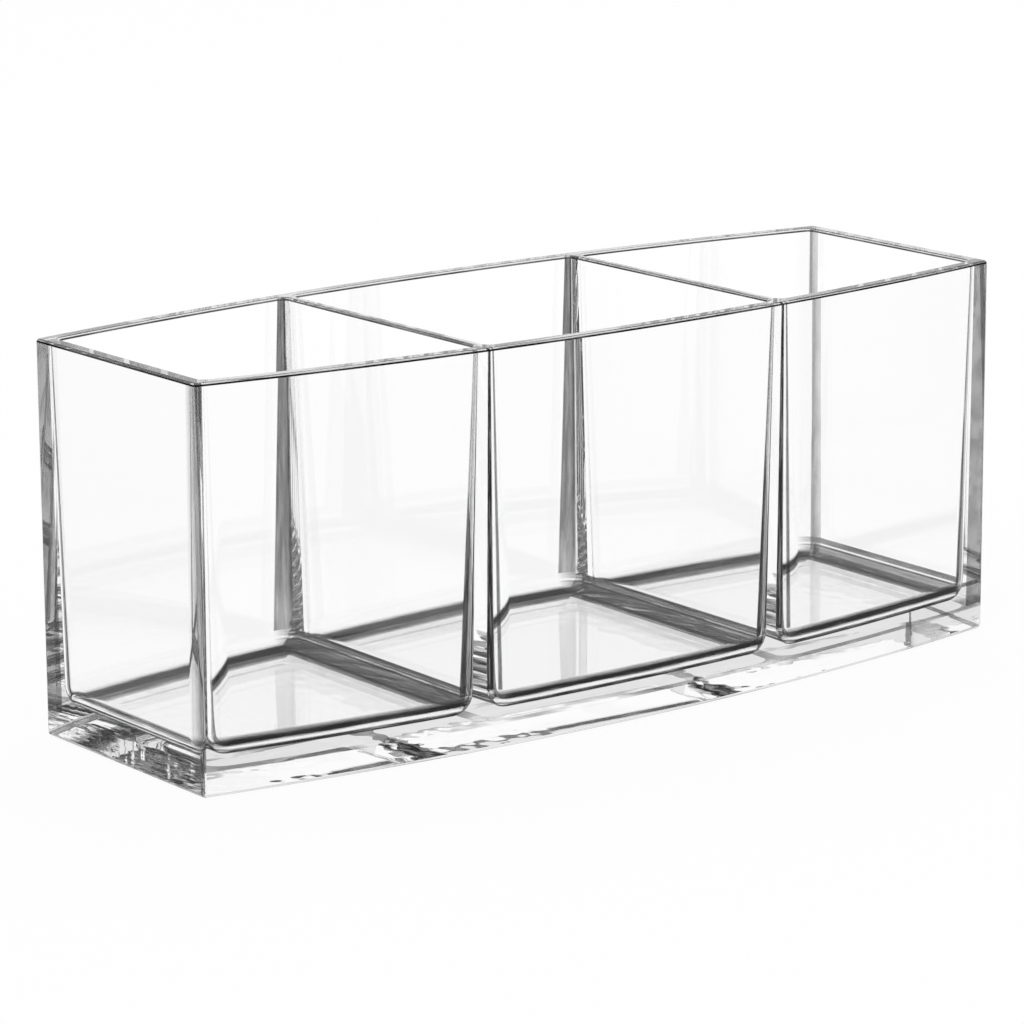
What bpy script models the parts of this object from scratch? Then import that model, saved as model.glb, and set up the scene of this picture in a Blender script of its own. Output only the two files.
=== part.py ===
"""Clear three-bin make-up storage box.

Seven clear pieces are bonded together: a thick base, a bowed front wall and back wall, two
straight end walls and two dividers. The base rises inside each bin as a low spigot whose floor
runs up into a cove, and the walls stand round the spigots on the ledge that is left. The bins
taper towards the floor, as the walls are thicker at the foot than at the rim.

Metres, +Z up, X along the box, the bowed front towards -Y. The origin is the middle of the
underside.
"""

import math

import bmesh
import bpy

# Overall sizes
LENGTH = 0.238  # outside, end wall to end wall
END_DEPTH = 0.066  # outside, front to back at either end
BOW = 0.011  # how far the middle of the front, and of the back, stands past the ends
HEIGHT = 0.095
FLOOR_HEIGHT = 0.008  # the bins' floors above the table

# Bins and walls, measured at the rim
BINS = 3
LONG_WALL = 0.0038
END_WALL = 0.004
DIVIDER = 0.0026
DIVIDER_PLACE = 0.044  # middle of the box to the middle of either divider
DRAFT_DEGREES = 0.5  # lean of every face inside a bin

# Roundings
OUTER_CORNER = 0.0012  # upright outer corners
RIM_ROUND = 0.0008
BIN_CORNER = 0.002  # upright corners of a bin at the rim
FLOOR_COVE = 0.005
FLOOR_CORNER = 0.0006  # corners of the flat of a floor
UNDER_CHAMFER = 0.001  # bottom edge of the base

# Joints
SEAT_DEPTH = 0.002  # ledge that carries the walls, below the floors
SPIGOT_ROOT_SHARE = 0.5  # of the slab's height, where a spigot starts inside it
BOND_GAP = 0.0003  # cement line between neighbours

# Facets
LONG_ARC_STEPS = 20
BIN_ARC_STEPS = 8
OUTER_CORNER_STEPS = 3
BIN_CORNER_STEPS = 5
COVE_STEPS = 5
RIM_STEPS = 3
SHARP_DEGREES = 30

# Limits that keep a rounding inside the wall that carries it
RIM_MOST_SHARE = 0.4  # of the thinnest wall
CORNER_LEAST_SHARE = 0.1  # of a corner's radius, where an inset eats it

# Clear acrylic, nearly colourless with a faint cool tint
PANEL_COLOUR = (0.94, 0.955, 0.955)
BASE_COLOUR = (0.93, 0.945, 0.945)
CLEAR_ROUGHNESS = 0.03
CLEAR_IOR = 1.49

HALF_LENGTH = LENGTH / 2
BOW_RADIUS = (HALF_LENGTH**2 + BOW**2) / (2 * BOW)
BOW_CENTRE = BOW_RADIUS - (END_DEPTH / 2 + BOW)  # of the front arc, on +Y
SEAT_HEIGHT = FLOOR_HEIGHT - SEAT_DEPTH
WALL_FOOT = SEAT_HEIGHT + BOND_GAP
RIM_RADIUS = min(RIM_ROUND, RIM_MOST_SHARE * min(DIVIDER, LONG_WALL, END_WALL))
FOOT_CORNER = FLOOR_CORNER + FLOOR_COVE  # upright corners of a bin at the floor
FRONT, BACK = -1, 1
LEFT, RIGHT = -1, 1


class Level:
    """One height of the box: how far its faces stand in from their places at the rim."""

    def __init__(self, height, rim_inset=0.0):
        self.height = height
        self.rim_inset = rim_inset
        self.draft = math.tan(math.radians(DRAFT_DEGREES)) * (HEIGHT - height)
        drop = (HEIGHT - height) / (HEIGHT - FLOOR_HEIGHT)
        self.corner = BIN_CORNER + (FOOT_CORNER - BIN_CORNER) * drop
        self.joint_radius = BOW_RADIUS - LONG_WALL - self.draft


def wall_levels():
    """The levels of a wall, from its foot to the top of its rounded rim."""
    levels = [Level(WALL_FOOT)]
    for step in range(RIM_STEPS + 1):
        turn = math.pi / 2 * step / RIM_STEPS
        height = HEIGHT - RIM_RADIUS * (1 - math.sin(turn))
        levels.append(Level(height, RIM_RADIUS * (1 - math.cos(turn))))
    return levels


def on_bow(radius, x):
    """The front arc of this radius at x."""
    return BOW_CENTRE - math.sqrt(radius**2 - x**2)


def arc_between(radius, x0, x1, steps):
    """Points along the front arc of this radius from x0 to x1, both included."""
    a0, a1 = math.asin(x0 / radius), math.asin(x1 / radius)
    turns = [a0 + (a1 - a0) * i / steps for i in range(steps + 1)]
    return [(radius * math.sin(t), BOW_CENTRE - radius * math.cos(t)) for t in turns]


def corner_points(face, into, arc_radius, radius, steps, clear=0.0):
    """A rounding between the upright face at x = face and the front arc.

    into is the way from the face to the rounding's centre. The points run from the face to the
    arc, and start where the rounding is clear of the face by the given distance.
    """
    cx = face + into * radius
    cy = on_bow(arc_radius - radius, cx)
    reach = arc_radius - radius
    start = math.acos(1 - clear / radius)
    end = math.atan2((BOW_CENTRE - cy) / reach, -into * cx / reach)
    points = []
    for step in range(steps + 1):
        turn = start + (end - start) * step / steps
        points.append((cx - into * radius * math.cos(turn), cy - radius * math.sin(turn)))
    return points


def outer_corner(side, inset, steps=OUTER_CORNER_STEPS):
    """The upright outer corner at the front of the left or right end."""
    radius = max(OUTER_CORNER - inset, CORNER_LEAST_SHARE * OUTER_CORNER)
    face = side * (HALF_LENGTH - inset)
    return corner_points(face, -side, BOW_RADIUS - inset, radius, steps)


def bin_faces(index):
    """The x of the left and right faces of a bin at the rim: 0 is left, 1 middle, 2 right."""
    end = HALF_LENGTH - END_WALL
    near = DIVIDER_PLACE - DIVIDER / 2
    far = DIVIDER_PLACE + DIVIDER / 2
    return ((-end, -far), (-near, near), (far, end))[index]


def bin_front(index, inset, arc_radius, radius, clear=0.0):
    """The front of a bin, from left to right: a corner, the bowed face and a corner."""
    left, right = bin_faces(index)
    first = corner_points(left + inset, RIGHT, arc_radius, radius, BIN_CORNER_STEPS, clear)
    last = corner_points(right - inset, LEFT, arc_radius, radius, BIN_CORNER_STEPS, clear)
    middle = arc_between(arc_radius, first[-1][0], last[-1][0], BIN_ARC_STEPS)
    return first + middle[1:-1] + last[::-1]


def bin_outline(index, inset, radius):
    """A whole bin, anticlockwise, with every face moved in by inset from the rim."""
    front = bin_front(index, inset, BOW_RADIUS - LONG_WALL - inset, radius)
    return front + [(x, -y) for x, y in reversed(front)]


def long_wall_outline(level):
    """The front wall, anticlockwise, with slots between the coves for the walls it holds."""
    inset = level.rim_inset
    left, right = outer_corner(LEFT, inset), outer_corner(RIGHT, inset)
    radius = BOW_RADIUS - inset
    outer = left + arc_between(radius, left[-1][0], right[-1][0], LONG_ARC_STEPS)[1:-1] + right[::-1]
    inner = []
    for index in range(BINS):
        front = bin_front(
            index,
            level.draft - inset,
            level.joint_radius + inset,
            level.corner + inset,
            BOND_GAP,
        )
        seats = [(x, on_bow(level.joint_radius, x)) for x in (front[0][0], front[-1][0])]
        inner += [seats[0]] + front + [seats[1]]
    ends = [(side * (HALF_LENGTH - inset)) for side in (LEFT, RIGHT)]
    edges = [(x, on_bow(level.joint_radius, x)) for x in ends]
    return outer + [edges[1]] + inner[::-1] + [edges[0]]


def cross_wall_outline(level, left, right):
    """A wall from the front wall to the back wall, between two upright faces."""
    radius = level.joint_radius - BOND_GAP
    front = [(x, on_bow(radius, x)) for x in (left, right)]
    return front + [(x, -y) for x, y in reversed(front)]


def end_wall_outline(side):
    """How the left or right end wall's outline follows the level."""

    def outline(level):
        outer = side * (HALF_LENGTH - level.rim_inset)
        inner = side * (HALF_LENGTH - END_WALL - level.draft + level.rim_inset)
        return cross_wall_outline(level, min(outer, inner), max(outer, inner))

    return outline


def divider_outline(side):
    """How the left or right divider's outline follows the level."""

    def outline(level):
        half = DIVIDER / 2 + level.draft - level.rim_inset
        middle = side * DIVIDER_PLACE
        return cross_wall_outline(level, middle - half, middle + half)

    return outline


def base_outline(inset):
    """The base's outer edge, anticlockwise, moved in by inset."""
    left, right = outer_corner(LEFT, inset), outer_corner(RIGHT, inset)
    radius = BOW_RADIUS - inset
    front = left + arc_between(radius, left[-1][0], right[-1][0], LONG_ARC_STEPS)[1:-1] + right[::-1]
    return front + [(x, -y) for x, y in reversed(front)]


def mirrored(outline):
    """A front outline as the back one, still anticlockwise."""
    return [(x, -y) for x, y in reversed(outline)]


def loft(name, sections):
    """A closed mesh through loops of equal length, given as (height, outline) from the foot up."""
    bm = bmesh.new()
    loops = [[bm.verts.new((x, y, z)) for x, y in outline] for z, outline in sections]
    count = len(loops[0])
    for low, high in zip(loops, loops[1:]):
        for i in range(count):
            j = (i + 1) % count
            bm.faces.new((low[i], low[j], high[j], high[i]))
    bm.faces.new(reversed(loops[0]))
    bm.faces.new(loops[-1])
    bmesh.ops.recalc_face_normals(bm, faces=bm.faces)
    mesh = bpy.data.meshes.new(name)
    bm.to_mesh(mesh)
    bm.free()
    return mesh


def clear_material(name, colour):
    """Polished clear acrylic."""
    material = bpy.data.materials.new(name)
    material.use_nodes = True
    shader = material.node_tree.nodes["Principled BSDF"]
    shader.inputs["Base Color"].default_value = (*colour, 1.0)
    shader.inputs["Roughness"].default_value = CLEAR_ROUGHNESS
    shader.inputs["Metallic"].default_value = 0.0
    shader.inputs["IOR"].default_value = CLEAR_IOR
    shader.inputs["Transmission Weight"].default_value = 1.0
    return material


def add_piece(mesh, colour, parent):
    """An object for one piece of the box, shaded smooth between its sharp edges."""
    piece = bpy.data.objects.new(mesh.name, mesh)
    bpy.context.scene.collection.objects.link(piece)
    piece.parent = parent
    mesh.materials.append(clear_material(f"{mesh.name}_acrylic", colour))
    mesh.shade_smooth()
    mesh.set_sharp_from_angle(angle=math.radians(SHARP_DEGREES))
    return piece


def spigot(index):
    """The raised floor of one bin: sides against the walls, a thin lip and a cove to the floor."""
    foot = Level(SEAT_HEIGHT)
    root = SPIGOT_ROOT_SHARE * SEAT_HEIGHT
    sections = [(root, bin_outline(index, foot.draft + BOND_GAP, foot.corner - BOND_GAP))]
    start = math.acos(1 - BOND_GAP / FLOOR_COVE)
    for step in range(COVE_STEPS + 1):
        turn = start + (math.pi / 2 - start) * step / COVE_STEPS
        stand_off = FLOOR_COVE * (1 - math.cos(turn))
        level = Level(FLOOR_HEIGHT + FLOOR_COVE * (1 - math.sin(turn)))
        corner = max(level.corner - stand_off, CORNER_LEAST_SHARE * FLOOR_CORNER)
        sections.append((level.height, bin_outline(index, level.draft + stand_off, corner)))
    mesh = loft(f"spigot_{index}", sections)
    helper = bpy.data.objects.new(mesh.name, mesh)
    bpy.context.scene.collection.objects.link(helper)
    helper.hide_render = True
    helper.display_type = "WIRE"
    return helper


def add_base(parent):
    """The thick base: a chamfered slab as high as the ledge, joined to a spigot for each bin."""
    sections = [
        (0.0, base_outline(UNDER_CHAMFER)),
        (UNDER_CHAMFER, base_outline(0.0)),
        (SEAT_HEIGHT, base_outline(0.0)),
    ]
    base = add_piece(loft("base", sections), BASE_COLOUR, parent)
    for index in range(BINS):
        join = base.modifiers.new(f"spigot {index}", "BOOLEAN")
        join.operation = "UNION"
        join.solver = "EXACT"
        join.object = spigot(index)
        join.object.parent = parent


def add_walls(parent):
    """The six upright pieces, all lofted through the same levels."""
    levels = wall_levels()
    fronts = [(level.height, long_wall_outline(level)) for level in levels]
    backs = [(height, mirrored(outline)) for height, outline in fronts]
    add_piece(loft("front_wall", fronts), PANEL_COLOUR, parent)
    add_piece(loft("back_wall", backs), PANEL_COLOUR, parent)
    cross_walls = {
        "left_end_wall": end_wall_outline(LEFT),
        "right_end_wall": end_wall_outline(RIGHT),
        "left_divider": divider_outline(LEFT),
        "right_divider": divider_outline(RIGHT),
    }
    for name, outline in cross_walls.items():
        sections = [(level.height, outline(level)) for level in levels]
        add_piece(loft(name, sections), PANEL_COLOUR, parent)


def main():
    for item in list(bpy.data.objects):
        bpy.data.objects.remove(item)
    storage_box = bpy.data.objects.new("storage_box", None)
    bpy.context.scene.collection.objects.link(storage_box)
    add_base(storage_box)
    add_walls(storage_box)


main()
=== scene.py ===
"""Clear three-bin make-up storage box, as it looks in a white studio.

Each of the seven bonded pieces gets a finely faceted body of clear acrylic. Open faces bend
and mirror light. The bonded faces between neighbours let it straight through, with a smoky
streak where cement joins a wall's end or foot. The coves and rounded edges, which in clear
plastic gather the dark of a room, carry that dark as a density stored on their points.
Metres, +Z up, X along the box, and the bowed front towards -Y.
"""

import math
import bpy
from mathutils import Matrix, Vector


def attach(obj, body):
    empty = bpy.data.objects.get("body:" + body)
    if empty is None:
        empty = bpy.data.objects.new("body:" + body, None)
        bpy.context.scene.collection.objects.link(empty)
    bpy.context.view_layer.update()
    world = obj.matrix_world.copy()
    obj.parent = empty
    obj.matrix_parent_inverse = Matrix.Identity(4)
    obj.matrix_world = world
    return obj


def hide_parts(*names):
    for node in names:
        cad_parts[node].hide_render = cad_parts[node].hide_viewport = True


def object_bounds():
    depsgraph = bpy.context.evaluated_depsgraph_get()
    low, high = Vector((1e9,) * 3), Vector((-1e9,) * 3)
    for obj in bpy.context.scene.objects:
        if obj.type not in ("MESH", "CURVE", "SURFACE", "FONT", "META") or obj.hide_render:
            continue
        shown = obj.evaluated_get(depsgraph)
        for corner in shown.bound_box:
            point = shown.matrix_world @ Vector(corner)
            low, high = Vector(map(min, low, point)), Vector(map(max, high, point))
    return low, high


bl_info = {
    "name": "Clear Makeup Storage Box",
    "version": (1, 0, 0),
    "blender": (4, 5, 0),
    "location": "3D View > Sidebar > Storage Box",
    "description": "Builds the clear acrylic pieces of a three-bin storage box and its studio",
    "category": "Object",
}

from collections import namedtuple

import bmesh
import bpy
from bpy.props import FloatProperty, FloatVectorProperty, IntProperty, PointerProperty
from mathutils import Matrix, Vector

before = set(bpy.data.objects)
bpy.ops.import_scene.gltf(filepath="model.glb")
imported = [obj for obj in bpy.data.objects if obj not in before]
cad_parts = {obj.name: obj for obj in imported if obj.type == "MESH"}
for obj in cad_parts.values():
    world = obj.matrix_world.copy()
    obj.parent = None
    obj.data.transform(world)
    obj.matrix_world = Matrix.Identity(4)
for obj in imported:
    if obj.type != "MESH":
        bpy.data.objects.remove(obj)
CAD_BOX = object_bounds()

BODY = "root"
BINS = 3
LEFT, RIGHT = -1, 1
END_NODES = {"left_end_wall": LEFT, "right_end_wall": RIGHT}
DIVIDER_NODES = {"left_divider": LEFT, "right_divider": RIGHT}

# What a face is, which is also its material's place in a piece
OPEN, BONDED, END_JOINT, FOOT_JOINT = range(4)
# An open face that the floor's cove covers below its lip
INSIDE = 4

LENGTH = CAD_BOX[1][0] - CAD_BOX[0][0]
DEPTH = CAD_BOX[1][1] - CAD_BOX[0][1]
HEIGHT = CAD_BOX[1][2] - CAD_BOX[0][2]
END_DEPTH = 0.066

# How much painted shade a rounding carries from one of its sides to the other: (share of its turn, density).
# A floor's cove turns from its lip to the floor, and an upright's from the cross wall to the long one.
# The painted shade stands for the dark of the room that clear coves and rounded edges bend into view.
PLAIN = ((0.0, 0.0), (1.0, 0.0))
BACK_FLOOR_COVE_SHADE = (
    (0.0, 0.0), (0.4, 0.0), (0.47, 0.15), (0.52, 0.5), (0.55, 1.0), (0.72, 1.0),
    (0.78, 0.6), (0.92, 0.42), (1.0, 0.36),
)
FRONT_FLOOR_COVE_SHADE = (
    (0.0, 0.0), (0.05, 0.2), (0.12, 0.45), (0.18, 1.0), (0.3, 1.0), (0.34, 0.15),
    (0.46, 0.05), (0.5, 0.6), (0.55, 1.0), (1.0, 1.0),
)
RIGHT_FLOOR_COVE_SHADE = (
    (0.0, 0.2), (0.03, 0.5), (0.16, 0.42), (0.2, 0.02), (0.24, 0.02), (0.27, 0.9),
    (0.31, 0.2), (0.36, 0.35), (0.5, 0.2), (0.55, 0.06), (0.6, 0.25), (0.66, 0.0),
    (0.72, 0.8), (0.78, 0.7), (0.88, 0.1), (1.0, 0.0),
)
LEFT_FLOOR_COVE_SHADE = (
    (0.0, 0.0), (0.4, 0.0), (0.45, 1.0), (0.52, 1.0), (0.57, 0.0), (0.68, 0.0),
    (0.72, 1.0), (0.8, 1.0), (0.85, 0.0), (1.0, 0.0),
)
OUTER_CORNER_SHADE = ((0.0, 0.2), (0.2, 0.3), (0.8, 0.3), (1.0, 0.0))

# The same painted shade over the margin of a floor's flat, from its cove inwards
BACK_MARGIN_SHADE = (
    (0.0, 0.34), (0.15, 0.28), (0.3, 0.0), (0.7, 0.0), (0.76, 0.12), (0.86, 0.12),
    (0.92, 0.0), (1.0, 0.0),
)

# The same painted shade over a rim from below, and the share of it on a wall's outside and inside
RIM_SHADE = ((0.0, 0.0), (0.08, 0.9), (0.3, 0.9), (0.42, 0.05), (0.7, 0.05), (0.85, 0.4), (1.0, 0.1))
RIM_OUT_SHARE, RIM_IN_SHARE = 1.0, 0.7

# An upright cove's painted shade density, the pattern that spreads over it at its foot, and the share it
# fades by there
UprightShade = namedtuple("UprightShade", "above foot fade_share", defaults=(None, 0.0))

# The painted shade of the uprights of a long wall by the wall that each leans on and the side of it, and of
# its own cut ends
UprightShades = namedtuple("UprightShades", "left_end divider_right divider_left right_end left_face right_face")

CLEAR = UprightShade(PLAIN)
FRONT_UPRIGHT_SHADE = UprightShades(
    left_end=CLEAR,
    divider_right=UprightShade((
        (0.0, 0.0), (0.04, 1.0), (0.3, 1.0), (0.36, 0.0), (0.5, 0.0), (0.54, 0.4),
        (0.62, 0.4), (0.66, 0.0), (1.0, 0.0),
    )),
    divider_left=UprightShade(
        ((0.0, 0.0), (0.86, 0.0), (0.91, 0.25), (0.97, 0.25), (1.0, 0.0)),
        ((0.0, 0.0), (0.04, 0.6), (0.6, 0.5), (0.97, 0.7), (1.0, 0.0)),
    ),
    right_end=UprightShade(
        ((0.0, 0.0), (0.86, 0.0), (0.91, 0.3), (0.97, 0.3), (1.0, 0.0)),
        ((0.0, 0.0), (0.5, 0.0), (0.6, 0.5), (0.97, 0.5), (1.0, 0.0)),
    ),
    left_face=0.0,
    right_face=0.0,
)
BACK_UPRIGHT_SHADE = UprightShades(
    left_end=CLEAR,
    divider_right=CLEAR,
    divider_left=UprightShade(
        ((0.0, 0.0), (0.4, 0.0), (0.44, 0.7), (0.52, 0.46), (0.9, 0.43), (0.95, 0.6), (1.0, 0.0)),
        fade_share=0.4,
    ),
    right_end=CLEAR,
    left_face=0.28,
    right_face=0.12,
)
FADE_POWER = 4
FRONT_NODES = {"front_wall": FRONT_UPRIGHT_SHADE, "back_wall": BACK_UPRIGHT_SHADE}

# A point of an outline. kind is that of the face between it and the next point.
# edge is the density of painted shade at the point, across its share across the rounding, and rim the share
# of a rim's painted shade that it takes.
Spot = namedtuple("Spot", "x y kind edge across rim", defaults=(0.0, 0.0, RIM_IN_SHARE))

# A noise's grains per metre, or along and across an edge, the part of it used, and the tint's powers there:
# painted shade on the edges, the cement's grey on the joints
SHADE_GRAINS_ALONG, SHADE_GRAINS_ACROSS = 90.0, 7.0
SHADE_NOISE, SHADE_POWERS = (0.3, 0.7), (0.7, 1.2)
JOINT_NOISE = (0.42, 0.6)
END_JOINT_GRAINS, END_JOINT_POWERS = 220.0, (0.85, 1.2)
FOOT_JOINT_GRAINS, FOOT_JOINT_POWERS = 45.0, (0.0, 1.6)
NOISE_DETAIL = 3.0

# The base's ripples: grains per metre along X, Y and Z, and the heights between which they start and end
RIPPLE_GRAINS = (260.0, 160.0, 15.0)
RIPPLE_START, RIPPLE_END = (0.0002, 0.001), (0.0075, 0.0055)

# Where they reach the underside too: round the dividers' feet, and from here on to either end
RIPPLED_FOOT_PLACE = 0.046
RIPPLED_FOOT, RIPPLED_END = (0.022, 0.016), (0.084, 0.09)

# Edges that turn more than this stay sharp
SHARP = math.radians(35)

BOUNCES, CLEAR_BOUNCES = 48, 96
LAMP_PLACES = {"key_lamp": (-0.9, -0.7, 1.3), "fill_lamp": (0.9, 0.6, 1.3)}
LAMP_WIDTH = 1.2


class StorageBoxSizes(bpy.types.PropertyGroup):
    """The sizes that the pieces are drawn from."""

    length: FloatProperty(
        name="Length", description="Outside, from end wall to end wall", default=LENGTH, unit="LENGTH"
    )
    end_depth: FloatProperty(
        name="End depth", description="Outside, front to back at either end", default=END_DEPTH, unit="LENGTH"
    )
    bow: FloatProperty(
        name="Bow",
        description="How far the middle of the front and of the back stands past the ends",
        default=(DEPTH - END_DEPTH) / 2,
        unit="LENGTH",
    )
    height: FloatProperty(name="Height", description="Table to rim", default=HEIGHT, unit="LENGTH")
    floor_height: FloatProperty(
        name="Floor height", description="The bins' floors above the table", default=0.008, unit="LENGTH"
    )
    seat_height: FloatProperty(
        name="Seat height", description="The ledge that carries the walls", default=0.006, unit="LENGTH"
    )
    long_wall: FloatProperty(
        name="Long wall", description="Front and back wall at the rim", default=0.0038, unit="LENGTH"
    )
    end_wall: FloatProperty(name="End wall", description="End wall at the rim", default=0.004, unit="LENGTH")
    divider: FloatProperty(name="Divider", description="Divider at the rim", default=0.0026, unit="LENGTH")
    divider_place: FloatProperty(
        name="Divider place",
        description="Middle of the box to the middle of either divider",
        default=0.044,
        unit="LENGTH",
    )
    draft: FloatProperty(
        name="Draft",
        description="Lean of every face inside a bin",
        default=math.radians(0.5),
        subtype="ANGLE",
    )
    outer_corner: FloatProperty(
        name="Outer corner",
        description="Rounding of the upright outer corners",
        default=0.0012,
        unit="LENGTH",
    )
    # The uprights' painted shade changes below this height towards their feet.
    foot_shade: FloatProperty(
        name="Foot shade",
        description="Height to which the uprights differ towards their feet",
        default=0.062,
        unit="LENGTH",
    )
    rim_round: FloatProperty(
        name="Rim rounding", description="Rounding of the rims", default=0.0008, unit="LENGTH"
    )
    bin_corner: FloatProperty(
        name="Bin corner", description="Upright corners of a bin at the rim", default=0.002, unit="LENGTH"
    )
    floor_cove: FloatProperty(
        name="Floor cove", description="Rounding between a floor and its walls", default=0.005, unit="LENGTH"
    )
    # A faint painted shade line runs along this edge at the back.
    floor_margin: FloatProperty(
        name="Floor margin",
        description="Edge of a floor's flat that a faint line runs along",
        default=0.007,
        unit="LENGTH",
    )
    floor_corner: FloatProperty(
        name="Floor corner", description="Corners of the flat of a floor", default=0.0006, unit="LENGTH"
    )
    under_round: FloatProperty(
        name="Under rounding", description="Bottom edge of the base", default=0.001, unit="LENGTH"
    )
    joint_recess: FloatProperty(
        name="Joint recess",
        description="How far a cemented end or foot stands back from its neighbour",
        default=0.00002,
        unit="LENGTH",
    )
    arc_steps: IntProperty(name="Bow steps", description="Facets along the bowed faces", default=72)
    corner_steps: IntProperty(name="Corner steps", description="Facets round an upright rounding", default=24)
    foot_steps: IntProperty(name="Foot steps", description="Levels over which uprights change", default=12)
    margin_steps: IntProperty(name="Margin steps", description="Strips along the edge of a floor", default=16)
    cove_steps: IntProperty(name="Cove steps", description="Facets round a floor's cove", default=40)
    rim_steps: IntProperty(name="Rim steps", description="Facets round a rim", default=12)


class StorageBoxFinish(bpy.types.PropertyGroup):
    """The colours of the acrylic, the painted shade of its edges and its cement."""

    acrylic: FloatVectorProperty(
        name="Acrylic",
        description="Light that a clear face lets through",
        default=(0.998, 0.999, 0.9985),
        subtype="COLOR",
    )
    # The painted shade on coves and rounded edges at its darkest.
    edge: FloatVectorProperty(
        name="Edge",
        description="Light that a fully dark edge lets through",
        default=(0.003, 0.003, 0.003),
        subtype="COLOR",
    )
    end_joint: FloatVectorProperty(
        name="End joint",
        description="Light that the cement at a wall's end lets through",
        default=(0.35, 0.35, 0.35),
        subtype="COLOR",
    )
    foot_joint: FloatVectorProperty(
        name="Foot joint",
        description="Light that the cement at a wall's foot lets through",
        default=(0.5, 0.5, 0.5),
        subtype="COLOR",
    )
    gloss: FloatProperty(name="Gloss", description="Specular level of the acrylic's faces", default=0.01)
    base_waves: FloatProperty(
        name="Base waves", description="Height of the base's ripples", default=0.00005, unit="LENGTH"
    )
    ior: FloatProperty(name="IOR", description="How strongly the acrylic bends light", default=1.49)


class StorageBoxStudio(bpy.types.PropertyGroup):
    """The floor, the light and the camera."""

    floor: FloatVectorProperty(
        name="Floor", description="Colour of the floor", default=(0.93, 0.93, 0.93), subtype="COLOR"
    )
    backdrop_share: FloatProperty(
        name="Backdrop share", description="How much of the floor shows as plain white", default=0.95
    )
    glass_share: FloatProperty(
        name="Glass share", description="How much of it does so through the box", default=0.99
    )
    mirror_level: FloatProperty(
        name="Mirror level", description="How bright the floor shows in a face that mirrors it", default=0.6
    )
    floor_reach: FloatProperty(
        name="Floor reach", description="Middle to edge of the floor", default=4.0, unit="LENGTH"
    )
    floor_drop: FloatProperty(
        name="Floor drop", description="Gap under the box", default=0.0001, unit="LENGTH"
    )
    world: FloatProperty(name="World", description="Level of the light from all round", default=0.92)
    sky_low: FloatProperty(
        name="Sky low",
        description="Up to here the box mirrors white",
        default=math.radians(20),
        subtype="ANGLE",
    )
    sky_high: FloatProperty(
        name="Sky high",
        description="From here on the box mirrors the dark",
        default=math.radians(50),
        subtype="ANGLE",
    )
    sky_dark: FloatProperty(name="Sky dark", description="Level of the dark overhead", default=0.1)
    lamp: FloatProperty(name="Lamp", description="Power of either lamp", default=5.5, unit="POWER")
    camera_turn: FloatProperty(
        name="Camera turn",
        description="Round the box from its front",
        default=math.radians(-37.453),
        subtype="ANGLE",
    )
    camera_rise: FloatProperty(
        name="Camera rise", description="Above the horizon", default=math.radians(13.47), subtype="ANGLE"
    )
    camera_roll: FloatProperty(
        name="Camera roll",
        description="About the line of sight",
        default=math.radians(-0.366),
        subtype="ANGLE",
    )
    camera_distance: FloatProperty(
        name="Camera distance", description="From its target", default=1.10318, unit="LENGTH"
    )
    camera_target: FloatVectorProperty(
        name="Camera target",
        description="What it looks at",
        default=(-0.006195, 0.0, 0.042999),
        subtype="TRANSLATION",
    )
    camera_lens: FloatProperty(name="Camera lens", description="Focal length in millimetres", default=160.28)


def density(table, share):
    """The density of painted shade on a rounding at this share of its turn, on straight lines between the
    pairs.
    """
    for (start, low), (end, high) in zip(table, table[1:]):
        if share <= end:
            return low + (high - low) * (share - start) / (end - start)
    return table[-1][1]


def upright_at(uprights, index, on_right):
    """The painted shade of the upright in the right or left corner of a bin."""
    if on_right:
        return uprights.right_end if index == BINS - 1 else uprights.divider_left
    return uprights.left_end if index == 0 else uprights.divider_right


def upright_shade_density(upright, share, foot_share):
    """The painted shade density of an upright cove, whose foot pattern spreads from the long wall as it nears
    the floor.
    """
    if foot_share <= 0 or not upright.foot:
        return density(upright.above, share) * (1 - upright.fade_share * foot_share**FADE_POWER)
    spread = 1 - (1 - share) / foot_share
    return density(upright.foot, spread) if spread > 0 else density(upright.above, share)


class Level:
    """One height of the box: how far its faces stand in from their places at the rim."""

    def __init__(self, form, height, rim_inset=0.0, rim_share=0.0):
        self.height = height
        self.rim_inset = rim_inset
        self.rim_share = rim_share
        full = form.lip_height + form.sizes.floor_cove
        below_shade = (form.sizes.foot_shade - height) / (form.sizes.foot_shade - full)
        self.foot_share = min(1.0, max(0.0, below_shade))
        self.draft = math.tan(form.sizes.draft) * (form.sizes.height - height)
        drop = (form.sizes.height - height) / (form.sizes.height - form.sizes.floor_height)
        self.corner = form.sizes.bin_corner + (form.foot_corner - form.sizes.bin_corner) * drop
        self.joint_radius = form.bow_radius - form.sizes.long_wall - self.draft


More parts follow.
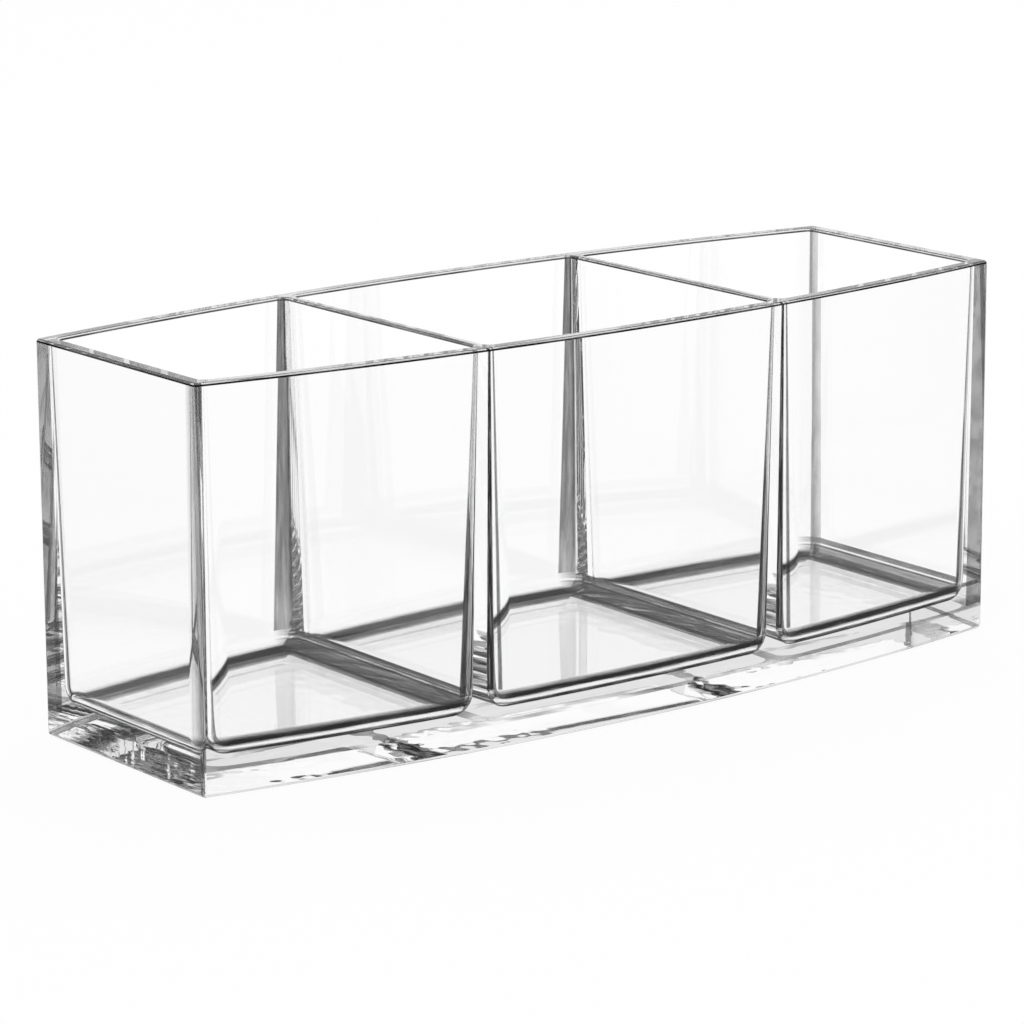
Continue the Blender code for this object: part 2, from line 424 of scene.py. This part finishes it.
class Form:
    """The outlines of the box, worked out from its sizes. An outline is a list of Spots, anticlockwise."""

    TIP_SHARE = 0.02  # of a rounding's turn, for the narrow facet at its tip
    CORNER_LEAST_SHARE = 0.1  # of a corner's radius, where an inset eats it

    def __init__(self, sizes):
        self.sizes = sizes
        self.half = sizes.length / 2
        self.bow_radius = (self.half**2 + sizes.bow**2) / (2 * sizes.bow)
        self.bow_centre = self.bow_radius - (sizes.end_depth / 2 + sizes.bow)
        self.foot_corner = sizes.floor_corner + sizes.floor_cove
        self.lip_height = sizes.floor_height + sizes.floor_cove

    def wall_levels(self):
        """The levels of a wall, from its foot to the top of its rounded rim."""
        sizes = self.sizes
        lip = self.lip_height
        levels = [Level(self, sizes.seat_height)]
        for step in range(sizes.foot_steps + 1):
            levels.append(Level(self, lip + (sizes.foot_shade - lip) * step / sizes.foot_steps))
        for step in range(sizes.rim_steps + 1):
            share = step / sizes.rim_steps
            turn = math.pi / 2 * share
            height = sizes.height - sizes.rim_round * (1 - math.sin(turn))
            levels.append(Level(self, height, sizes.rim_round * (1 - math.cos(turn)), share))
        return levels

    def on_bow(self, radius, x):
        """The front arc of this radius at x."""
        return self.bow_centre - math.sqrt(radius**2 - x**2)

    def arc_between(self, radius, x0, x1, steps):
        """Points along the front arc of this radius from x0 to x1, both included."""
        a0, a1 = math.asin(x0 / radius), math.asin(x1 / radius)
        turns = [a0 + (a1 - a0) * i / steps for i in range(steps + 1)]
        return [(radius * math.sin(t), self.bow_centre - radius * math.cos(t)) for t in turns]

    def shares(self, steps):
        """The shares of a rounding's turn at which it has points, with a narrow first facet."""
        return [0.0, self.TIP_SHARE] + [step / steps for step in range(1, steps + 1)]

    def corner_centre(self, face, into, arc_radius, radius):
        """The centre of a rounding between the upright face at x = face and the front arc."""
        cx = face + into * radius
        return cx, self.on_bow(arc_radius - radius, cx)

    def corner_points(self, face, into, arc_radius, radius):
        """The rounding's points as (x, y, share of its turn), from the face to the arc."""
        cx, cy = self.corner_centre(face, into, arc_radius, radius)
        reach = arc_radius - radius
        end = math.atan2((self.bow_centre - cy) / reach, -into * cx / reach)
        return [
            (cx - into * radius * math.cos(share * end), cy - radius * math.sin(share * end), share)
            for share in self.shares(self.sizes.corner_steps)
        ]

    def outer_corner(self, side, inset):
        """The upright outer corner at the front of the left or right end."""
        radius = self.sizes.outer_corner - inset
        radius = max(radius, self.CORNER_LEAST_SHARE * self.sizes.outer_corner)
        face = side * (self.half - inset)
        return self.corner_points(face, -side, self.bow_radius - inset, radius)

    def bin_faces(self, index):
        """The x of the left and right faces of a bin at the rim: 0 is left, 1 middle, 2 right."""
        end = self.half - self.sizes.end_wall
        near = self.sizes.divider_place - self.sizes.divider / 2
        far = self.sizes.divider_place + self.sizes.divider / 2
        return ((-end, -far), (-near, near), (far, end))[index]

    def bin_front(self, index, inset, arc_radius, radius):
        """The front of a bin as (x, y, share of a corner's turn): a corner, the bow and a corner."""
        left, right = self.bin_faces(index)
        first = self.corner_points(left + inset, RIGHT, arc_radius, radius)
        last = self.corner_points(right - inset, LEFT, arc_radius, radius)
        steps = max(1, self.sizes.arc_steps // BINS)
        middle = self.arc_between(arc_radius, first[-1][0], last[-1][0], steps)
        return first + [(x, y, 1.0) for x, y in middle[1:-1]] + last[::-1]

    def bin_outline(self, index, inset, radius):
        """A whole bin, anticlockwise, with every face moved in by inset from the rim."""
        arc_radius = self.bow_radius - self.sizes.long_wall - inset
        front = self.bin_front(index, inset, arc_radius, radius)
        return front + [(x, -y, share) for x, y, share in reversed(front)]

    def outer_front(self, inset):
        """The outside of the front as (x, y, share of a corner's turn), from left to right."""
        left, right = self.outer_corner(LEFT, inset), self.outer_corner(RIGHT, inset)
        radius = self.bow_radius - inset
        arc = self.arc_between(radius, left[-1][0], right[-1][0], self.sizes.arc_steps)
        return left + [(x, y, 1.0) for x, y in arc[1:-1]] + right[::-1]

    def long_wall_outline(self, level, uprights):
        """The front wall, with a coved slot for each wall that it holds."""
        inset = level.rim_inset
        spots = []
        # The outer corners and the cut ends carry painted shade.
        for x, y, share in self.outer_front(inset):
            at_end = (uprights.left_face if x < 0 else uprights.right_face) if share == 0 else 0.0
            spots.append(Spot(x, y, OPEN, max(at_end, density(OUTER_CORNER_SHADE, share)), share, RIM_OUT_SHARE))
        edge = self.half - inset
        joint = self.on_bow(level.joint_radius, edge)
        spots.append(Spot(edge, joint, BONDED, uprights.right_face, 0.0, RIM_OUT_SHARE))
        for index in reversed(range(BINS)):
            joint_radius, corner = level.joint_radius + inset, level.corner + inset
            front = self.bin_front(index, level.draft - inset, joint_radius, corner)
            front.reverse()
            middle = len(front) // 2
            first, last = front[0][0], front[-1][0]
            spots.append(Spot(first, self.on_bow(level.joint_radius, first), BONDED))
            # The coves of a bin's corners carry the painted shade of their uprights.
            for place, (x, y, share) in enumerate(front):
                upright = upright_at(uprights, index, place < middle)
                kind = BONDED if place == len(front) - 1 else INSIDE
                spots.append(Spot(x, y, kind, upright_shade_density(upright, share, level.foot_share), share))
            spots.append(Spot(last, self.on_bow(level.joint_radius, last), BONDED))
        spots.append(Spot(-edge, joint, OPEN, uprights.left_face, 0.0, RIM_OUT_SHARE))
        return spots

    def cove_tip(self, face, into, level):
        """How far forward a bin's face at x = face is open: the tip of the corner's cove."""
        inset = level.rim_inset
        return self.corner_centre(face, into, level.joint_radius + inset, level.corner + inset)[1]

    def face_spots(self, face, into, level, way):
        """A cross wall's face beside a bin. way is 1 from front to back and -1 from back to front."""
        front = self.on_bow(level.joint_radius, face)
        tip = self.cove_tip(face, into, level)
        spots = [
            Spot(face, front, BONDED),
            Spot(face, tip, INSIDE),
            Spot(face, -tip, BONDED),
            Spot(face, -front, BONDED),
        ]
        return self.running(spots, way)

    def running(self, spots, way):
        """Spots given from front to back, or turned to run the other way with the kinds of their faces."""
        if way > 0:
            return spots
        kinds = [spot.kind for spot in spots[-2::-1]] + [BONDED]
        return [spot._replace(kind=kind) for spot, kind in zip(reversed(spots), kinds)]

    def end_wall_outline(self, side, level):
        """The left or right end wall. It closes with the joint whose cement shows."""
        outer = side * (self.half - level.rim_inset)
        inner = side * (self.half - self.sizes.end_wall - level.draft + level.rim_inset)
        front = self.on_bow(level.joint_radius, outer)
        outside = [
            Spot(outer, front, OPEN, rim=RIM_OUT_SHARE),
            Spot(outer, -front, BONDED, rim=RIM_OUT_SHARE),
        ]
        spots = self.running(outside, side) + self.face_spots(inner, -side, level, -side)
        for place in (0, -1):
            y = spots[place].y
            spots[place] = spots[place]._replace(y=y - math.copysign(self.sizes.joint_recess, y))
        spots[-1] = spots[-1]._replace(kind=END_JOINT)
        return spots

    def divider_outline(self, side, level):
        """The left or right divider."""
        half = self.sizes.divider / 2 + level.draft - level.rim_inset
        middle = side * self.sizes.divider_place
        right = self.face_spots(middle + half, RIGHT, level, 1)
        return right + self.face_spots(middle - half, LEFT, level, -1)

    def base_outline(self, inset):
        """The base's outer edge, moved in by inset, as (x, y, share of a corner's turn)."""
        front = self.outer_front(inset)
        return front + [(x, -y, share) for x, y, share in reversed(front)]


class Shell:
    """A mesh under construction, with the density of the painted shade on its edges stored on its points."""

    def __init__(self, name):
        self.name = name
        self.bm = bmesh.new()
        # The edge layer holds the density of painted shade at each point.
        self.edge = self.bm.verts.layers.float.new("edge")
        self.across = self.bm.verts.layers.float.new("across")

    def vertex(self, x, y, z, edge=0.0, across=0.0):
        """A point with its density of painted shade and its share across the rounding that it lies on."""
        vert = self.bm.verts.new((x, y, z))
        vert[self.edge] = edge
        vert[self.across] = across
        return vert

    def strip(self, low, high, kinds):
        """Joins two loops of equal length with quads, which take the kinds as their materials."""
        for i, kind in enumerate(kinds):
            j = (i + 1) % len(low)
            self.face((low[i], low[j], high[j], high[i]), kind)

    def face(self, verts, kind):
        """One face of this kind."""
        self.bm.faces.new(verts).material_index = kind

    def mesh(self):
        """The finished mesh."""
        mesh = bpy.data.meshes.new(self.name)
        self.bm.to_mesh(mesh)
        self.bm.free()
        return mesh


def wall_mesh(name, form, outline, turned=False):
    """A wall lofted through all levels. turned makes the back wall from the front one."""
    shell = Shell(name)
    levels = form.wall_levels()
    outlines = [outline(level) for level in levels]
    loops = []
    for level, spots in zip(levels, outlines):
        height = max(level.height, form.sizes.seat_height + form.sizes.joint_recess)
        rim = density(RIM_SHADE, level.rim_share)
        # Each point's painted shade gives way over the rounded rim to the rim's painted shade.
        loops.append([
            shell.vertex(
                spot.x, spot.y, height, max(spot.edge * (1 - level.rim_share), rim * spot.rim), spot.across
            )
            for spot in spots
        ])
    for low, high, spots, level in zip(loops, loops[1:], outlines, levels[1:]):
        inside = BONDED if level.height <= form.lip_height else OPEN
        shell.strip(low, high, [inside if spot.kind == INSIDE else spot.kind for spot in spots])
    shell.face(loops[0][::-1], FOOT_JOINT)
    shell.face(loops[-1], OPEN)
    if turned:
        bmesh.ops.scale(shell.bm, vec=(1, -1, 1), verts=shell.bm.verts)
        bmesh.ops.reverse_faces(shell.bm, faces=shell.bm.faces)
    return shell.mesh()


def edges_of(bm, loop):
    """The edges along a closed loop of vertices."""
    return [bm.edges.get((loop[i - 1], loop[i])) for i in range(len(loop))]


def add_under_edge(shell, form):
    """The slab's rounded bottom edge and its sides. Returns the loop round the ledge."""
    sizes = form.sizes
    loops = []
    for step in range(sizes.rim_steps + 1):
        turn = math.pi / 2 * step / sizes.rim_steps
        inset = sizes.under_round * (1 - math.sin(turn))
        height = sizes.under_round * (1 - math.cos(turn))
        loops.append([shell.vertex(x, y, height) for x, y, _ in form.base_outline(inset)])
    loops.append([shell.vertex(x, y, sizes.seat_height) for x, y, _ in form.base_outline(0.0)])
    for low, high in zip(loops, loops[1:]):
        shell.strip(low, high, [OPEN] * len(low))
    shell.face(loops[0][::-1], OPEN)
    return loops[-1]


def blended(along, across, share, corner):
    """The painted shade density beside a long wall, blended into the one beside a cross wall round a corner.
    """
    return corner * density(along, share) + (1 - corner) * density(across, share)


def add_bin_floor(shell, form, index):
    """One bin's floor, raised through the ledge and coved up to its walls. Returns its foot loop."""
    sizes = form.sizes
    foot = Level(form, sizes.seat_height)
    middle = sum(form.bin_faces(index)) / 2
    loops = [[
        shell.vertex(x, y, sizes.seat_height) for x, y, _ in form.bin_outline(index, foot.draft, foot.corner)
    ]]
    # The cove's points carry the painted shade beside the long wall, blended round the corners into that
    # beside the cross wall.
    for share in form.shares(sizes.cove_steps):
        turn = math.pi / 2 * share
        stand_off = sizes.floor_cove * (1 - math.cos(turn))
        level = Level(form, sizes.floor_height + sizes.floor_cove * (1 - math.sin(turn)))
        radius = max(level.corner - stand_off, form.CORNER_LEAST_SHARE * sizes.floor_corner)
        loops.append([
            shell.vertex(
                x,
                y,
                level.height,
                blended(
                    FRONT_FLOOR_COVE_SHADE if y < 0 else BACK_FLOOR_COVE_SHADE,
                    LEFT_FLOOR_COVE_SHADE if x < middle else RIGHT_FLOOR_COVE_SHADE,
                    share,
                    corner,
                ),
                share,
            )
            for x, y, corner in form.bin_outline(index, level.draft + stand_off, radius)
        ])
    floor = Level(form, sizes.floor_height)
    # The margin of the flat carries painted shade at the back, fading from the cove, with a faint line.
    for step in range(1, sizes.margin_steps + 1):
        share = step / sizes.margin_steps
        inset = floor.draft + sizes.floor_cove + sizes.floor_margin * share
        radius = form.CORNER_LEAST_SHARE * sizes.floor_corner
        loops.append([
            shell.vertex(
                x,
                y,
                sizes.floor_height,
                blended(PLAIN if y < 0 else BACK_MARGIN_SHADE, PLAIN, share, corner),
                1.0,
            )
            for x, y, corner in form.bin_outline(index, inset, radius)
        ])
    shell.strip(loops[0], loops[1], [BONDED] * len(loops[0]))
    for low, high in zip(loops[1:], loops[2:]):
        shell.strip(low, high, [OPEN] * len(low))
    shell.face(loops[-1], OPEN)
    return loops[0]


def base_mesh(name, form):
    """The base: a slab with a rounded bottom edge, and a coved floor raised in each bin."""
    shell = Shell(name)
    bm = shell.bm
    edges = edges_of(bm, add_under_edge(shell, form))
    for index in range(BINS):
        edges += edges_of(bm, add_bin_floor(shell, form, index))
    ledge = bmesh.ops.triangle_fill(bm, use_beauty=True, use_dissolve=False, edges=edges, normal=(0, 0, 1))
    for item in ledge["geom"]:
        if isinstance(item, bmesh.types.BMFace):
            item.material_index = BONDED
    bmesh.ops.recalc_face_normals(bm, faces=bm.faces)
    return shell.mesh()


def add_piece(mesh, node, finish):
    """A visible piece that stands for a node of the frame."""
    piece = bpy.data.objects.new(f"{node}_body", mesh)
    bpy.context.scene.collection.objects.link(piece)
    for material in (
        clear_acrylic(f"{node}_clear", finish, finish.base_waves if node == "base" else 0.0),
        bonded_face("bonded_face"),
        joint_face("end_joint", finish.end_joint, END_JOINT_GRAINS, END_JOINT_POWERS),
        joint_face("foot_joint", finish.foot_joint, FOOT_JOINT_GRAINS, FOOT_JOINT_POWERS),
    ):
        mesh.materials.append(material)
    mesh.shade_smooth()
    mesh.set_sharp_from_angle(angle=SHARP)
    weighted = piece.modifiers.new("Flat faces lead", "WEIGHTED_NORMAL")
    weighted.mode = "FACE_AREA"
    weighted.keep_sharp = True
    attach(piece, BODY)
    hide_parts(node)
    return piece


class Tree:
    """Adds and joins the nodes of a material or world."""

    def __init__(self, owner):
        owner.use_nodes = True
        self.nodes, self.links = owner.node_tree.nodes, owner.node_tree.links

    def add(self, kind, settings=None, **inputs):
        """A node with these settings. An input is a value, or the socket that feeds it."""
        node = self.nodes.new(kind)
        for name, value in (settings or {}).items():
            setattr(node, name, value)
        for name, value in inputs.items():
            self.feed(node, name, value)
        return node

    def feed(self, node, name, value):
        """Sets or links one input, named as in the interface or by its number."""
        key = int(name[1:]) if name[1:].isdigit() else name.replace("_", " ")
        if isinstance(value, bpy.types.NodeSocket):
            self.links.new(value, node.inputs[key])
        else:
            node.inputs[key].default_value = value

    def spread(self, value, span, results):
        """The value carried from a span of its own to a span of results, and held at its ends."""
        return self.add(
            "ShaderNodeMapRange",
            Value=value,
            From_Min=span[0],
            From_Max=span[1],
            To_Min=results[0],
            To_Max=results[1],
        ).outputs[0]

    def ramp(self, value, span):
        """0 up to the span's start and 1 from its end on, also where its end is the smaller."""
        rising = span[0] < span[1]
        return self.spread(value, sorted(span), (0.0, 1.0) if rising else (1.0, 0.0))

    def math(self, operation, first, second=0.0):
        """The result of a Math node."""
        return self.add("ShaderNodeMath", {"operation": operation}, i0=first, i1=second).outputs[0]


def shade_streaks(tree, along, across):
    """Noise drawn out along an edge for the painted shade's streak pattern: its grains per metre along it,
    and its grains across.
    """
    place = tree.add("ShaderNodeNewGeometry").outputs["Position"]
    split = tree.add("ShaderNodeSeparateXYZ", Vector=place)
    flat = tree.math("ADD", split.outputs["X"], split.outputs["Y"])
    share = tree.add("ShaderNodeAttribute", {"attribute_name": "across"}).outputs["Fac"]
    vector = tree.add(
        "ShaderNodeCombineXYZ",
        X=tree.math("MULTIPLY", flat, along),
        Y=tree.math("MULTIPLY", share, across),
        Z=tree.math("MULTIPLY", split.outputs["Z"], along),
    )
    noise = tree.add("ShaderNodeTexNoise", Vector=vector.outputs[0], Scale=1.0, Detail=NOISE_DETAIL)
    return noise.outputs["Fac"]


def clear_acrylic(name, finish, waves):
    """Polished clear acrylic, with painted shade in streak lines on its coves and rounded edges, for the dark
    of the room that they bend into view.
    """
    material = bpy.data.materials.new(name)
    tree = Tree(material)
    shader = tree.nodes["Principled BSDF"]
    # The painted shade: the edge density, made uneven by streak noise, darkens the colour towards the edge
    # colour.
    dark = tree.add("ShaderNodeAttribute", {"attribute_name": "edge"}).outputs["Fac"]
    shade_streak_noise = shade_streaks(tree, SHADE_GRAINS_ALONG, SHADE_GRAINS_ACROSS)
    uneven = tree.spread(shade_streak_noise, SHADE_NOISE, SHADE_POWERS)
    clamped = {"operation": "MULTIPLY", "use_clamp": True}
    depth = tree.add("ShaderNodeMath", clamped, i0=dark, i1=uneven).outputs[0]
    tint = tree.add("ShaderNodeGamma", Color=(*finish.edge, 1.0), Gamma=depth)
    colour = tree.add(
        "ShaderNodeMix",
        {"data_type": "RGBA", "blend_type": "MULTIPLY"},
        i0=1.0,
        i6=tint.outputs[0],
        i7=(*finish.acrylic, 1.0),
    )
    tree.links.new(colour.outputs[2], shader.inputs["Base Color"])
    shader.inputs["Roughness"].default_value = 0.0
    shader.inputs["IOR"].default_value = finish.ior
    shader.inputs["Specular IOR Level"].default_value = finish.gloss
    if waves:
        tree.links.new(ripples(tree, waves), shader.inputs["Normal"])
    # Where the painted shade is full, the face lets no light through and shows the dark edge colour.
    tree.links.new(tree.math("SUBTRACT", 1.0, depth), shader.inputs["Transmission Weight"])
    return material


def ripples(tree, waves):
    """The normal of a face with low ripples on the base's sides and on patches of its underside."""
    place = tree.add("ShaderNodeNewGeometry").outputs["Position"]
    stretched = tree.add("ShaderNodeVectorMath", {"operation": "MULTIPLY"}, i0=place, i1=RIPPLE_GRAINS)
    ripple = tree.add("ShaderNodeTexNoise", Vector=stretched.outputs[0], Scale=1.0, Detail=0.0)
    split = tree.add("ShaderNodeSeparateXYZ", Vector=place)
    below = tree.ramp(split.outputs["Z"], RIPPLE_END)
    on_side = tree.ramp(split.outputs["Z"], RIPPLE_START)
    from_middle = tree.math("ABSOLUTE", split.outputs["X"])
    from_foot = tree.math("ABSOLUTE", tree.math("SUBTRACT", from_middle, RIPPLED_FOOT_PLACE))
    patch = tree.math("MAXIMUM", tree.ramp(from_foot, RIPPLED_FOOT), tree.ramp(from_middle, RIPPLED_END))
    where = tree.math("MULTIPLY", below, tree.math("MAXIMUM", on_side, patch))
    height = tree.math("MULTIPLY", ripple.outputs["Fac"], where)
    return tree.add("ShaderNodeBump", Strength=1.0, Distance=waves, Height=height).outputs[0]


def bonded_face(name):
    """The material of this name, in which light passes a face without a bend, made once."""
    material = bpy.data.materials.get(name)
    if material:
        return material
    material = bpy.data.materials.new(name)
    tree = Tree(material)
    tree.nodes.clear()
    clear = tree.add("ShaderNodeBsdfTransparent", Color=(1.0, 1.0, 1.0, 1.0))
    tree.add("ShaderNodeOutputMaterial", Surface=clear.outputs[0])
    return material


def joint_face(name, colour, grains, powers):
    """A cemented face, which light passes without a bend, dimmed unevenly by the cement."""
    made = name in bpy.data.materials
    material = bonded_face(name)
    if not made:
        tree = Tree(material)
        place = tree.add("ShaderNodeNewGeometry").outputs["Position"]
        noise = tree.add("ShaderNodeTexNoise", Vector=place, Scale=grains, Detail=NOISE_DETAIL)
        uneven = tree.spread(noise.outputs["Fac"], JOINT_NOISE, powers)
        tint = tree.add("ShaderNodeGamma", Color=(*colour, 1.0), Gamma=uneven)
        tree.links.new(tint.outputs[0], tree.nodes["Transparent BSDF"].inputs["Color"])
    return material


class STORAGE_BOX_OT_base(bpy.types.Operator):
    """Builds the thick base with its coved floors"""

    bl_idname = "storage_box.base"
    bl_label = "Base"

    def execute(self, context):
        form = Form(context.scene.storage_box_sizes)
        add_piece(base_mesh("base_body", form), "base", context.scene.storage_box_finish)
        return {"FINISHED"}


class STORAGE_BOX_OT_long_walls(bpy.types.Operator):
    """Builds the bowed front wall and back wall"""

    bl_idname = "storage_box.long_walls"
    bl_label = "Long Walls"

    def execute(self, context):
        form = Form(context.scene.storage_box_sizes)
        for node, uprights in FRONT_NODES.items():
            mesh = wall_mesh(
                f"{node}_body",
                form,
                lambda level: form.long_wall_outline(level, uprights),
                turned=node == "back_wall",
            )
            add_piece(mesh, node, context.scene.storage_box_finish)
        return {"FINISHED"}


class STORAGE_BOX_OT_cross_walls(bpy.types.Operator):
    """Builds the two end walls and the two dividers"""

    bl_idname = "storage_box.cross_walls"
    bl_label = "Cross Walls"

    def execute(self, context):
        form = Form(context.scene.storage_box_sizes)
        for nodes, outline in ((END_NODES, form.end_wall_outline), (DIVIDER_NODES, form.divider_outline)):
            for node, side in nodes.items():
                mesh = wall_mesh(f"{node}_body", form, lambda level: outline(side, level))
                add_piece(mesh, node, context.scene.storage_box_finish)
        return {"FINISHED"}


class STORAGE_BOX_OT_stage(bpy.types.Operator):
    """Sets up the floor, the world, the lamps and the camera"""

    bl_idname = "storage_box.stage"
    bl_label = "Stage"

    def execute(self, context):
        scene = context.scene
        studio = scene.storage_box_studio
        add_camera(scene, studio)
        add_floor(scene, studio)
        set_world(scene, studio)
        add_lamps(scene, studio)
        scene.view_settings.view_transform = "Standard"
        scene.cycles.max_bounces = BOUNCES
        scene.cycles.transmission_bounces = BOUNCES
        scene.cycles.glossy_bounces = BOUNCES
        scene.cycles.transparent_max_bounces = CLEAR_BOUNCES
        return {"FINISHED"}


def add_camera(scene, studio):
    """The camera, at the photograph's angle."""
    turn, rise, roll = studio.camera_turn, studio.camera_rise, studio.camera_roll
    back = Vector((math.sin(turn) * math.cos(rise), -math.cos(turn) * math.cos(rise), math.sin(rise)))
    level = Vector((math.cos(turn), math.sin(turn), 0.0))
    up = back.cross(level)
    right = math.cos(roll) * level + math.sin(roll) * up
    top = -math.sin(roll) * level + math.cos(roll) * up
    data = bpy.data.cameras.new("camera")
    data.lens = studio.camera_lens
    camera = bpy.data.objects.new("camera", data)
    scene.collection.objects.link(camera)
    place = Vector(studio.camera_target) + back * studio.camera_distance
    camera.matrix_world = Matrix.Translation(place) @ Matrix((right, top, back)).transposed().to_4x4()
    scene.camera = camera


def add_floor(scene, studio):
    """The pale floor: it shows white, and keeps a share of the box's shadow."""
    reach = studio.floor_reach
    mesh = bpy.data.meshes.new("floor")
    mesh.from_pydata(
        [(-reach, -reach, 0), (reach, -reach, 0), (reach, reach, 0), (-reach, reach, 0)], [], [(0, 1, 2, 3)]
    )
    floor = bpy.data.objects.new("floor", mesh)
    floor.location.z = -studio.floor_drop
    scene.collection.objects.link(floor)
    material = bpy.data.materials.new("floor")
    tree = Tree(material)
    tree.nodes.clear()
    path = tree.add("ShaderNodeLightPath")
    in_glass = tree.math("MAXIMUM", path.outputs["Is Glossy Ray"], path.outputs["Is Transmission Ray"])
    share = tree.math(
        "MAXIMUM",
        tree.math("MULTIPLY", path.outputs["Is Camera Ray"], studio.backdrop_share),
        tree.math("MULTIPLY", in_glass, studio.glass_share),
    )
    through = path.outputs["Is Transmission Ray"]
    mirrored = tree.math("MULTIPLY", path.outputs["Is Glossy Ray"], tree.math("SUBTRACT", 1.0, through))
    level = tree.spread(mirrored, (0.0, 1.0), (1.0, studio.mirror_level))
    mix = tree.add(
        "ShaderNodeMixShader",
        i0=share,
        i1=tree.add("ShaderNodeBsdfDiffuse", Color=(*studio.floor, 1.0)).outputs[0],
        i2=tree.add("ShaderNodeEmission", Color=(1.0, 1.0, 1.0, 1.0), Strength=level).outputs[0],
    )
    tree.add("ShaderNodeOutputMaterial", Surface=mix.outputs[0])
    mesh.materials.append(material)


def set_world(scene, studio):
    """A white room, which glass and gloss see darken overhead."""
    world = bpy.data.worlds.new("studio")
    scene.world = world
    tree = Tree(world)
    tree.nodes.clear()
    place = tree.add("ShaderNodeTexCoord").outputs["Generated"]
    height = tree.add("ShaderNodeSeparateXYZ", Vector=place).outputs["Z"]
    sky = tree.add(
        "ShaderNodeMapRange",
        Value=height,
        From_Min=math.sin(studio.sky_low),
        From_Max=math.sin(studio.sky_high),
        To_Min=1.0,
        To_Max=studio.sky_dark,
    ).outputs[0]
    path = tree.add("ShaderNodeLightPath")
    mirrored = tree.math("MAXIMUM", path.outputs["Is Glossy Ray"], path.outputs["Is Transmission Ray"])
    plain = tree.add(
        "ShaderNodeMix", {"data_type": "FLOAT"}, i0=path.outputs["Is Camera Ray"], i2=studio.world, i3=1.0
    ).outputs[0]
    level = tree.add("ShaderNodeMix", {"data_type": "FLOAT"}, i0=mirrored, i2=plain, i3=sky).outputs[0]
    background = tree.add("ShaderNodeBackground", Strength=level)
    tree.add("ShaderNodeOutputWorld", Surface=background.outputs[0])


def add_lamps(scene, studio):
    """Two wide soft lamps above the box, which don't show in the glass themselves."""
    for name, place in LAMP_PLACES.items():
        data = bpy.data.lights.new(name, "AREA")
        data.shape = "SQUARE"
        data.size = LAMP_WIDTH
        data.energy = studio.lamp
        lamp = bpy.data.objects.new(name, data)
        lamp.location = place
        lamp.rotation_euler = Vector(place).to_track_quat("Z", "Y").to_euler()
        lamp.visible_glossy = False
        lamp.visible_transmission = False
        lamp.visible_camera = False
        scene.collection.objects.link(lamp)


class VIEW3D_PT_storage_box(bpy.types.Panel):
    """Sizes and build steps of the storage box"""

    bl_label = "Storage Box"
    bl_space_type = "VIEW_3D"
    bl_region_type = "UI"
    bl_category = "Storage Box"

    def draw(self, context):
        for holder, values in GROUPS.items():
            for name in values.__annotations__:
                self.layout.prop(getattr(context.scene, holder), name)
        for step in STEPS:
            self.layout.operator(step.bl_idname)


GROUPS = {
    "storage_box_sizes": StorageBoxSizes,
    "storage_box_finish": StorageBoxFinish,
    "storage_box_studio": StorageBoxStudio,
}
STEPS = (
    STORAGE_BOX_OT_stage,
    STORAGE_BOX_OT_base,
    STORAGE_BOX_OT_long_walls,
    STORAGE_BOX_OT_cross_walls,
)
CLASSES = (*GROUPS.values(), *STEPS, VIEW3D_PT_storage_box)


def register():
    for item in CLASSES:
        bpy.utils.register_class(item)
    for holder, values in GROUPS.items():
        setattr(bpy.types.Scene, holder, PointerProperty(type=values))


def unregister():
    for holder in GROUPS:
        delattr(bpy.types.Scene, holder)
    for item in reversed(CLASSES):
        bpy.utils.unregister_class(item)


def main():
    register()
    bpy.ops.storage_box.stage()
    bpy.ops.storage_box.base()
    bpy.ops.storage_box.long_walls()
    bpy.ops.storage_box.cross_walls()
    bpy.context.view_layer.update()


if __name__ == "__main__":
    main()
